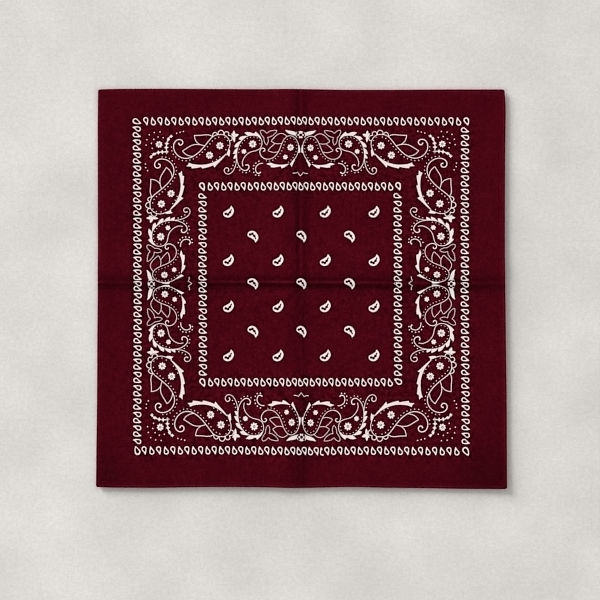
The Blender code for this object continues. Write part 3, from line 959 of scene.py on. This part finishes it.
def laid(chart, place, side, nudge=(0.0, 0.0), narrow=1.0):
    """A chart's copy at one of the eight places."""
    flat, triangles = chart
    q = flat - MIDDLE
    q = q - slack(q)
    a, b, c, d = place
    turned = np.stack([a * q[:, 0] + b * q[:, 1], c * q[:, 0] + d * q[:, 1]], 1)
    out = MIDDLE + turned + slack(turned)
    at, across, down = zip(*TUGS[side])
    along = out[:, 0] if side in ("top", "bottom") else out[:, 1]
    pulled = out + np.stack([smooth(along, at, across), smooth(along, at, down)], 1)
    deep, run = (1, 0) if side in ("top", "bottom") else (0, 1)
    middle_at, share = DRAWN_IN[side]
    pulled[:, deep] -= share * (out[:, deep] - middle_at)
    pulled[:, run] = MIDDLE[run] + narrow * (pulled[:, run] - MIDDLE[run])
    return pulled + np.array(nudge), triangles


# The two narrow borders of drops: how many, which way the first points, and how they spread.
Row = namedtuple("Row", "count first middle reach bend curl squeeze centre across")
TOP_ROWS = {
    "outer_top": Row(48, "down", 302.20, 152.35, 0.0, 4.87, -1.07, 300.8, ((145, 121.25), (220, 121.2), (300, 120.9), (380, 121.3), (458, 121.4))),
    "outer_bottom": Row(48, "down", 300.44, 150.55, 0.0, 7.44, -1.87, 300.8, ((145, 450.45), (220, 450.15), (300, 450.85), (322, 451.45), (332, 450.75), (380, 450.65), (457, 451.25))),
    "inner_top": Row(29, "up", 300.72, 89.81, -0.47, 1.54, -1.11, 300.8, ((210, 186.4), (300, 186.3), (391, 186.4))),
    "inner_bottom": Row(29, "up", 300.26, 89.60, -0.06, 1.20, -1.00, 300.8, ((210, 382.2), (300, 382.2), (391, 382.3))),
}
SIDE_ROWS = {
    "outer_left": Row(49, "left", 283.5, 156.27, 1.36, 1.35, -1.32, 282.5, ((129, 136.75), (284, 137.75), (442, 137.15))),
    "outer_right": Row(47, "right", 284.91, 156.21, 1.19, 0.42, -0.89, 282.5, ((130, 465.0), (284, 464.6), (442, 465.7))),
    "inner_left": Row(27, "right", 284.4, 89.29, 0.43, 0.42, -1.19, 282.5, ((196, 202.5), (284, 202.7), (373, 202.9))),
    "inner_right": Row(27, "right", 285.13, 88.96, -0.31, 0.97, -1.16, 282.5, ((196, 397.6), (284, 397.8), (373, 398.1))),
}
OTHER = {"up": "down", "down": "up", "left": "right", "right": "left"}
# The corner drops: body (x, y, radius), tip (x, y, radius), how the flanks swell, and the eye's two ends.
CORNER_DROPS = {
    "outer": (((135.4, 121.1, 2.75), (140.9, 123.3, 0.35), -0.05, 0.35, (135.4, 120.9, 1.6, 138.3, 122.6, 0.9)),
              ((466.2, 120.2, 2.75), (467.6, 124.9, 0.5), 0.35, 0.0, (466.1, 120.1, 1.45, 467.2, 122.5, 0.9)),
              ((137.6, 451.9, 2.95), (135.7, 446.6, 0.4), 0.3, 0.0, (137.6, 451.7, 1.75, 136.2, 448.5, 0.75)),
              ((465.3, 450.0, 3.05), (467.9, 454.7, 0.9), 0.4, 0.1, (465.2, 450.0, 1.8, 467.1, 452.9, 1.1))),
    "inner": (((201.9, 185.3, 2.85), (203.9, 190.5, 0.45), 0.35, 0.0, (201.8, 185.1, 1.5, 203.0, 187.4, 0.9)),
              ((398.0, 184.9, 2.8), (399.7, 189.8, 0.45), 0.35, 0.0, (397.9, 184.8, 1.45, 398.9, 187.0, 0.85)),
              ((202.2, 381.2, 2.9), (204.2, 386.1, 0.65), 0.4, 0.0, (202.1, 381.1, 1.65, 203.4, 383.7, 1.0)),
              ((399.2, 382.0, 2.85), (394.7, 379.3, 0.5), 0.0, 0.6, (399.4, 382.1, 1.6, 397.1, 380.6, 1.05))),
}


# Where the two ends of the outer lower row meet: how far the drops are moved along there, and the one that is cut short.
JOIN_FROM = (262.0, 286.0, 294.0, 298.5, 302.5, 308.5, 314.5, 321.4, 327.2, 334.1, 340.0, 352.0)
JOIN_MOVE = (0.0, 0.5, 0.5, 0.6, 1.6, 1.9, 1.9, 1.1, -0.4, -0.6, -0.3, 0.0)


def cut_short(flat, triangles):
    """The drop at the join, of which only the left side is printed."""
    x, y = flat[triangles].mean(1).T
    return flat, triangles[x < np.where(y > 0, 0.1 + 0.36 * y, 0.1 + 0.08 * y)]


def drops_of(which, shapes):
    """Every drop of the outer or the inner narrow border, and its four corner drops."""
    out = []
    for rows, upright in ((TOP_ROWS, False), (SIDE_ROWS, True)):
        for name, row in rows.items():
            if not name.startswith(which):
                continue
            way = row.first
            places = [p[0] for p in row.across]
            offs = [p[1] for p in row.across]
            for k in range(row.count):
                t = -1 + 2 * k / (row.count - 1)
                at = row.middle + row.reach * t + row.bend * t * t + row.curl * t ** 3
                along = at + row.squeeze * tanh((at - row.centre) / 6.0)
                across = float(np.interp(along, places, offs))
                flat, triangles = shapes[way]
                if name == "outer_bottom":
                    if abs(along - 321.4) < 1.5:
                        flat, triangles = cut_short(flat, triangles)
                    along += float(np.interp(along, JOIN_FROM, JOIN_MOVE))
                shift = (across, along) if upright else (along, across)
                out.append((flat + np.array(shift), triangles))
                way = OTHER[way]
    for shape in CORNER_DROPS[which]:
        ink = Ink()
        corner_drop(ink, *shape)
        out.append(filled(ink))
    return out


FIELD = [(x, y, False) for y in (211.9, 260.4, 306.5, 355.6) for x in (228.6, 278.2, 325.4, 374.1)]
FIELD += [(x, y, True) for y in (236.4, 283.6, 331.5) for x in (253.0, 302.0, 349.6)]


# How far each side's rosette and small peak stand off the middle (across, down), and how narrow they were drawn.
ROSETTES = {"top": (-0.7, 0.15, 1.0), "bottom": (-0.3, 0.9, 1.0), "left": (0.15, -1.3, 1.0), "right": (0.7, -1.0, 1.0)}
PEAKS = {"top": (-1.0, -0.3, 0.97), "bottom": (-0.6, 0.45, 1.02), "left": (-1.2, -1.3, 0.9), "right": (1.0, -1.45, 0.92)}


def field_place(x, y):
    """How much a fold takes in of a field motif that lies on it."""
    wide, high = (0.92 if abs(x - 302) < 1 else 1.0), (0.95 if abs(y - 283.6) < 1 else 1.0)
    return np.array((wide, high)), np.array((x - (0.5 if wide < 1 else 0), y))


def print_meshes():
    """Every piece of the print by its name."""
    level, upright, whole, small, angle = border_charts()
    made = {}
    for side, places in PLACES.items():
        half = level if side in ("top", "bottom") else upright
        copies = [laid(half, place, side) for place in places]
        for chart, nudges in ((whole, ROSETTES), (small, PEAKS)):
            dx, dy, narrow = nudges[side]
            copies.append(laid(chart, places[0], side, (dx, dy), narrow))
        made["print_band_" + side] = printed("print_band_" + side, copies)
    corners = [laid(angle, place, side) for side in ("top", "bottom") for place in PLACES[side]]
    made["print_corners"] = printed("print_corners", corners)
    shapes = {}
    for way in OTHER:
        ink = Ink()
        drop(ink, way)
        shapes[way] = filled(ink)
    for which in ("outer", "inner"):
        made["print_border_" + which] = printed("print_border_" + which, drops_of(which, shapes))
    commas = {}
    for flip in (False, True):
        ink = Ink()
        buti(ink, flip)
        commas[flip] = filled(ink, lambda x, y: True, 0.8)
    copies = []
    for x, y, flip in FIELD:
        size, at = field_place(x, y)
        copies.append((commas[flip][0] * size + at, commas[flip][1]))
    made["print_field"] = printed("print_field", copies)
    return made

# ------------------------------------------------------------- materials ----
class Nodes:
    """Small helpers to wire one material."""

    def __init__(self, name):
        self.material = bpy.data.materials.new(name)
        self.material.use_nodes = True
        self.tree = self.material.node_tree
        self.shader = self.tree.nodes["Principled BSDF"]

    def link(self, value, socket):
        if isinstance(value, bpy.types.NodeSocket):
            self.tree.links.new(value, socket)
        else:
            socket.default_value = value

    def math(self, kind, *values, clamp=False):
        node = self.tree.nodes.new("ShaderNodeMath")
        node.operation = kind
        node.use_clamp = clamp
        for k, v in enumerate(values):
            self.link(v, node.inputs[k])
        return node.outputs[0]

    def place(self, scale=(1000.0, 1000.0, 1000.0)):
        """Where a point is on the object, in millimetres, stretched as asked."""
        if not hasattr(self, "coordinates"):
            self.coordinates = self.tree.nodes.new("ShaderNodeTexCoord").outputs["Object"]
        node = self.tree.nodes.new("ShaderNodeVectorMath")
        node.operation = "MULTIPLY"
        self.link(self.coordinates, node.inputs[0])
        node.inputs[1].default_value = scale
        return node.outputs[0]

    def split(self, vector):
        node = self.tree.nodes.new("ShaderNodeSeparateXYZ")
        self.link(vector, node.inputs[0])
        return node.outputs

    def noise(self, scale, detail=2.0, rough=0.5):
        """Noise from 0 to 1 whose grain is one over scale, in millimetres, each way."""
        node = self.tree.nodes.new("ShaderNodeTexNoise")
        self.link(self.place(tuple(1000.0 * s for s in scale)), node.inputs["Vector"])
        node.inputs["Scale"].default_value = 1.0
        node.inputs["Detail"].default_value = detail
        node.inputs["Roughness"].default_value = rough
        return node.outputs[0]

    def spread(self, value, low, high):
        """A 0 to 1 value moved to run from low to high."""
        return self.math("MULTIPLY_ADD", value, high - low, low)

    def product(self, *values):
        out = values[0]
        for v in values[1:]:
            out = self.math("MULTIPLY", out, v)
        return out

    def tone(self, colour, strength):
        """A colour made darker or lighter by strength."""
        node = self.tree.nodes.new("ShaderNodeVectorMath")
        node.operation = "SCALE"
        self.link(colour, node.inputs[0])
        self.link(strength, node.inputs["Scale"])
        return node.outputs[0]

    def sum(self, one, two):
        node = self.tree.nodes.new("ShaderNodeVectorMath")
        node.operation = "ADD"
        self.link(one, node.inputs[0])
        self.link(two, node.inputs[1])
        return node.outputs[0]

    def between(self, share, one, two):
        node = self.tree.nodes.new("ShaderNodeMix")
        node.data_type = "RGBA"
        self.link(share, node.inputs[0])
        self.link((*one, 1.0) if isinstance(one, tuple) else one, node.inputs[6])
        self.link((*two, 1.0) if isinstance(two, tuple) else two, node.inputs[7])
        return node.outputs[2]

    def weave(self, pitch):
        """The height of a plain weave, 0 between the threads and 1 on their crowns."""
        x, y, _ = self.split(self.place())
        su = self.math("SINE", self.math("MULTIPLY", x, pi / pitch))
        sv = self.math("SINE", self.math("MULTIPLY", y, pi / pitch))
        both = self.math("MULTIPLY", self.math("MULTIPLY", su, sv), 0.5)
        warp = self.math("ADD", self.math("MULTIPLY", self.math("ABSOLUTE", su), 0.5), both)
        weft = self.math("SUBTRACT", self.math("MULTIPLY", self.math("ABSOLUTE", sv), 0.5), both)
        return self.math("MAXIMUM", warp, weft)

    def level(self, share):
        """The face's own direction leaned by share to the sheet's upward one, as thick ink scatters light."""
        face = self.tree.nodes.new("ShaderNodeNewGeometry").outputs["Normal"]
        up = self.tree.nodes.new("ShaderNodeVectorTransform")
        up.vector_type, up.convert_from, up.convert_to = "NORMAL", "OBJECT", "WORLD"
        up.inputs[0].default_value = (0.0, 0.0, share / (1 - share))
        both = self.tree.nodes.new("ShaderNodeVectorMath")
        both.operation = "NORMALIZE"
        self.link(self.sum(face, up.outputs[0]), both.inputs[0])
        return both.outputs[0]

    def bump(self, height, distance, strength, normal=None):
        node = self.tree.nodes.new("ShaderNodeBump")
        if normal is not None:
            self.link(normal, node.inputs["Normal"])
        node.inputs["Strength"].default_value = strength
        node.inputs["Distance"].default_value = distance * MM
        self.link(height, node.inputs["Height"])
        self.tree.links.new(node.outputs[0], self.shader.inputs["Normal"])

    def matt(self, roughness, specular):
        self.shader.inputs["Metallic"].default_value = 0.0
        self.shader.inputs["Specular IOR Level"].default_value = specular
        self.link(roughness, self.shader.inputs["Roughness"])


THREAD_PITCH = 0.46  # from one thread of the weave to the next
BURGUNDY = (0.0607, 0.0015, 0.0058)


def cotton(name, colour, depth=1.0, painted_shade_and_mottle=False):
    """Dyed plain-weave cotton: threads, slubs, uneven dye and a little lint, and where asked the painted light and
    shade that the mesh carries.
    """
    m = Nodes(name)
    weave = m.weave(THREAD_PITCH)
    weft_slub = m.noise((0.05, 1.1, 0.3), 3.0, 0.6)
    warp_slub = m.noise((1.3, 0.045, 0.3), 3.0, 0.6)
    cloud = m.noise((0.155, 0.135, 0.1), 3.0, 0.6)
    haze = m.noise((0.03, 0.036, 0.03), 2.0, 0.5)
    grain = m.noise((0.75, 0.7, 0.4), 2.0, 0.6)
    strength = m.product(m.spread(weave, 0.72, 1.24), m.spread(weft_slub, 0.74, 1.26), m.spread(warp_slub, 0.76, 1.24),
                         m.spread(cloud, 0.68, 1.32), m.spread(haze, 0.87, 1.13), m.spread(grain, 0.82, 1.18))
    if painted_shade_and_mottle:
        # painted light and shade of the creases, hems and margins, carried on the mesh
        share = m.tree.nodes.new("ShaderNodeAttribute")
        share.attribute_name = "painted_light_and_shade"
        strength = m.math("MULTIPLY", strength, share.outputs["Fac"])
        wash = m.tree.nodes.new("ShaderNodeAttribute")
        wash.attribute_name = "wash"
        mottle = m.spread(m.noise((0.19, 0.2, 0.2), 2.0, 0.5), -1.6, 1.6)
        strength = m.math("MULTIPLY", strength, m.math("ADD", m.math("MULTIPLY", mottle, wash.outputs["Fac"]), 1.0))
    strength = m.math("MULTIPLY", strength, m.spread(m.noise((0.38, 0.36, 0.36), 3.0, 0.75), 0.0, 2.0))
    lint = m.math("MULTIPLY", m.math("SUBTRACT", m.noise((0.21, 0.19, 0.2), 3.0, 0.65), 0.47, clamp=True), 0.006)
    fibre = m.tone((1.0, 0.8, 0.8), lint)
    m.link(m.sum(m.tone(colour, strength), fibre), m.shader.inputs["Base Color"])
    height = m.math("ADD", weave, m.math("ADD", m.math("MULTIPLY", weft_slub, 0.7), m.math("MULTIPLY", warp_slub, 0.6)))
    m.bump(height, 0.11 * depth, 0.75)
    m.matt(m.spread(weave, 0.95, 0.85), 0.01)
    return m.material


def ink(name):
    """White ink laid into the weave, thin in the hollows between the threads."""
    m = Nodes(name)
    weave = m.weave(THREAD_PITCH)
    cover = m.noise((0.9, 0.9, 0.4), 3.0, 0.65)
    thin = m.math("MULTIPLY", m.math("SUBTRACT", 1.0, weave), m.spread(cover, 0.15, 0.6), clamp=True)
    colour = m.between(thin, (0.785, 0.772, 0.722), (0.6, 0.41, 0.42))
    m.link(m.tone(colour, m.spread(m.noise((0.22, 0.2, 0.2)), 0.96, 1.04)), m.shader.inputs["Base Color"])
    m.bump(weave, 0.07, 0.45, m.level(0.95))
    m.matt(0.8, 0.12)
    return m.material


def thread(name, colour):
    """Twisted sewing thread."""
    m = Nodes(name)
    x, y, _ = m.split(m.place())
    twist = m.math("SINE", m.math("MULTIPLY", m.math("ADD", x, y), 2 * pi / 0.42))
    strength = m.product(m.spread(m.math("MULTIPLY_ADD", twist, 0.5, 0.5), 0.75, 1.25), m.spread(m.noise((0.8, 0.8, 0.8)), 0.85, 1.15))
    m.link(m.tone(colour, strength), m.shader.inputs["Base Color"])
    m.bump(twist, 0.05, 0.5)
    m.matt(0.7, 0.05)
    return m.material


def plaster(name):
    """The plain pale floor."""
    m = Nodes(name)
    cloud = m.noise((0.008, 0.008, 0.008), 6.0, 0.52)
    fleck = m.noise((0.16, 0.16, 0.16), 3.0, 0.6)
    grit = m.noise((0.36, 0.36, 0.36), 3.0, 0.75)
    x, y, _ = m.split(m.place())
    # painted shade: the floor falls off a little darker towards the right and the foot, away from the light
    fall = m.math("MULTIPLY_ADD", m.math("SUBTRACT", x, m.math("MULTIPLY", y, 0.45)), -0.03 / 400.0, 1.0)
    fall = m.math("MINIMUM", m.math("MAXIMUM", fall, 0.965), 1.02)
    # a faint contact shade right beside the cloth
    beyond = m.math("MAXIMUM", m.math("SUBTRACT", m.math("ABSOLUTE", x), 274.8), m.math("SUBTRACT", m.math("ABSOLUTE", y), 268.2))
    ring = m.math("MULTIPLY_ADD", beyond, -1.0 / 8.0, 1.0, clamp=True)
    ring = m.math("MULTIPLY_ADD", m.math("MULTIPLY", ring, ring), -0.16, 1.0)
    strength = m.product(m.spread(cloud, 0.8, 1.2), m.spread(fleck, 0.9, 1.1), m.spread(grit, 0.83, 1.17), fall, ring)
    m.link(m.tone((0.677, 0.650, 0.621), strength), m.shader.inputs["Base Color"])
    m.bump(fleck, 0.12, 0.35)
    m.matt(0.9, 0.1)
    return m.material

# ----------------------------------------------------------- the bandana ----
# the panel's cotton shows the painted light and shade kept on its mesh
cloth = add("cloth_panel", cloth_mesh(), cotton("burgundy_cotton", BURGUNDY, painted_shade_and_mottle=True))
plan = cloth.data.uv_layers.new(name="OFBake")
sheet_points = np.zeros(len(cloth.data.vertices) * 3)
cloth.data.vertices.foreach_get("co", sheet_points)
sheet_points = sheet_points.reshape(-1, 3)
corners = np.zeros(len(cloth.data.loops), int)
cloth.data.loops.foreach_get("vertex_index", corners)
skin = corners >= len(sheet_points) // 2
u = (sheet_points[corners, 0] + 0.28) / 0.56
v = (sheet_points[corners, 1] + 0.28) / 0.56
plan.data.foreach_set("uv", np.stack([np.where(skin, 0.5 + 0.49 * (1 - u), 0.49 * u) + 0.0025, v], 1).ravel())

turned = cotton("burgundy_cotton_turned", (0.052, 0.0016, 0.0052), 0.9)
hems = []
for side in ("top", "bottom", "left", "right"):
    hem = add("turned_hem_" + side, turned_edge(side), turned)
    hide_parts("hem_" + side)
    hems.append(hem)

sewn = add("hem_stitches", stitches(("top", "bottom", "left", "right")), thread("burgundy_thread", (0.085, 0.0045, 0.011)))

white = ink("white_ink")
prints = []
for name, mesh in print_meshes().items():
    piece = add(name, mesh, white)
    prints.append(piece)

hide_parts("panel")
for piece in [cloth, sewn] + hems + prints:
    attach(piece, "root")

# ------------------------------------------------- floor, light and camera ----
floor_mesh = mesh_of("floor", [(-4000, -4000, 0), (4000, -4000, 0), (4000, 4000, 0), (-4000, 4000, 0)], [(0, 1, 2, 3)], False)
floor = add("floor", floor_mesh, plaster("pale_plaster"))


def lamp(name, kind, energy, toward, **settings):
    data = bpy.data.lights.new(name, kind)
    data.energy = energy
    for key, value in settings.items():
        setattr(data, key, value)
    item = bpy.data.objects.new(name, data)
    item.rotation_euler = Vector(toward).to_track_quat("-Z", "Y").to_euler()
    bpy.context.scene.collection.objects.link(item)
    return item


def from_side(azimuth, elevation):
    """The way light travels when it comes from that side of the picture and that height."""
    a, e = azimuth * pi / 180, elevation * pi / 180
    return (-cos(a) * cos(e), -sin(a) * cos(e), -sin(e))


# a large soft source from the upper left, low enough to model the folds
lamp("key", "SUN", 4.7, from_side(136, 17), angle=0.5)

world = bpy.data.worlds.new("studio")
world.use_nodes = True
world.node_tree.nodes["Background"].inputs["Color"].default_value = (1.0, 1.0, 1.0, 1.0)
world.node_tree.nodes["Background"].inputs["Strength"].default_value = 0.61
bpy.context.scene.world = world
bpy.context.scene.view_settings.view_transform = "Standard"
bpy.context.scene.view_settings.look = "None"



def finish_picture(crisp, run):
    """The finished picture: its light and dark sharpened a little, its colour run a little."""
    scene = bpy.context.scene
    scene.use_nodes = True
    tree = scene.node_tree
    tree.nodes.clear()

    def node(kind, **settings):
        made = tree.nodes.new(kind)
        for name, value in settings.items():
            setattr(made, name, value)
        return made

    shown = node("CompositorNodeGamma")
    shown.inputs["Gamma"].default_value = 1 / 2.2
    tree.links.new(node("CompositorNodeRLayers").outputs["Image"], shown.inputs["Image"])
    parts = node("CompositorNodeSeparateColor", mode="YCC")
    tree.links.new(shown.outputs["Image"], parts.inputs["Image"])
    joined = node("CompositorNodeCombineColor", mode="YCC")
    sharp = node("CompositorNodeFilter", filter_type="SHARPEN")
    sharp.inputs["Fac"].default_value = crisp
    tree.links.new(parts.outputs[0], sharp.inputs["Image"])
    tree.links.new(sharp.outputs["Image"], joined.inputs[0])
    for k in (1, 2):
        soft = node("CompositorNodeBlur", filter_type="GAUSS", size_x=run, size_y=run)
        tree.links.new(parts.outputs[k], soft.inputs["Image"])
        tree.links.new(soft.outputs["Image"], joined.inputs[k])
    back = node("CompositorNodeGamma")
    back.inputs["Gamma"].default_value = 2.2
    tree.links.new(joined.outputs["Image"], back.inputs["Image"])
    tree.links.new(back.outputs["Image"], node("CompositorNodeComposite").inputs["Image"])


finish_picture(0.055, 6)

view = bpy.data.cameras.new("camera")
view.type = "PERSP"
view.lens, view.sensor_width = 85.0, 36.0
view.clip_start, view.clip_end = 0.05, 20.0
camera = bpy.data.objects.new("camera", view)
camera.location = ((300 - CHART_X) * SQUARE * MM, (CHART_Y - 300) * SQUARE * MM, 600 * SQUARE * MM * 85.0 / 36.0 + 0.001)
bpy.context.scene.collection.objects.link(camera)
bpy.context.scene.camera = camera
